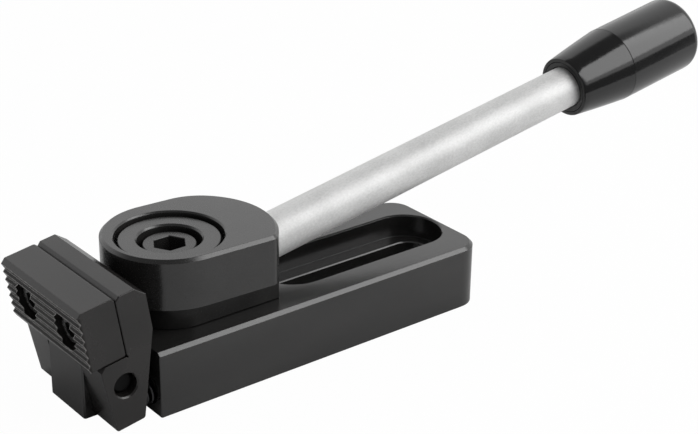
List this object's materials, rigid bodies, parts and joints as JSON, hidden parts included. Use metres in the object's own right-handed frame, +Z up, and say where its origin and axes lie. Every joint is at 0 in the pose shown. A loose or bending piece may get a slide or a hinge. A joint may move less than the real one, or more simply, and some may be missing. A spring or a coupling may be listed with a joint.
{
  "type": "pull-down clamp",
  "caption": "Low pull-down clamp: a slotted base, a cam hub on a flanged bush swung by a rod with a grip, and a toothed jaw that tilts forward and down on the work.",
  "frame": {"origin": "on the lever's pivot axis, in the plane of the base's resting face", "axes": "+X from the jaw to the tail of the base, +Y across it, +Z up"},
  "size_m": [0.292, 0.0504, 0.0873],
  "materials": {
    "black_steel": "black oxide, semi-gloss, machined",
    "pin_steel": "ground, dark",
    "screw_steel": "black oxide",
    "spring_steel": "bright drawn wire",
    "bright_steel": "satin zinc",
    "grip_plastic": "gloss moulded",
    "bush_brass": "turned"
  },
  "bodies": {
    "base": {"base_body": "black_steel", "hinge_pin": "pin_steel", "pivot_bush": "black_steel", "pivot_screw": "screw_steel", "return_spring_left": "spring_steel", "return_spring_right": "spring_steel"},
    "lever": {"lever_hub": "black_steel", "lever_rod": "bright_steel", "grip": "grip_plastic", "grip_bush": "bush_brass"},
    "jaw": {"jaw_carrier": "black_steel", "jaw_insert": "black_steel", "jaw_screw_left": "screw_steel", "jaw_screw_right": "screw_steel"}
  },
  "joints": [
    {"name": "lever_swing", "type": "hinge", "parent": "base", "child": "lever", "pos_m": [0, 0, 0], "axis": [0, 0, 1], "range_deg": [-25, 45]},
    {"name": "jaw_tilt", "type": "hinge", "parent": "base", "child": "jaw", "pos_m": [-0.0328, 0, 0.0162], "axis": [0, -1, 0], "range_deg": [-3.25, 5.85], "deforming": ["return_spring_left", "return_spring_right"]}
  ],
  "couplings": [
    {"joint": "jaw_tilt", "follows": "lever_swing", "ratio": 0.13}
  ]
}
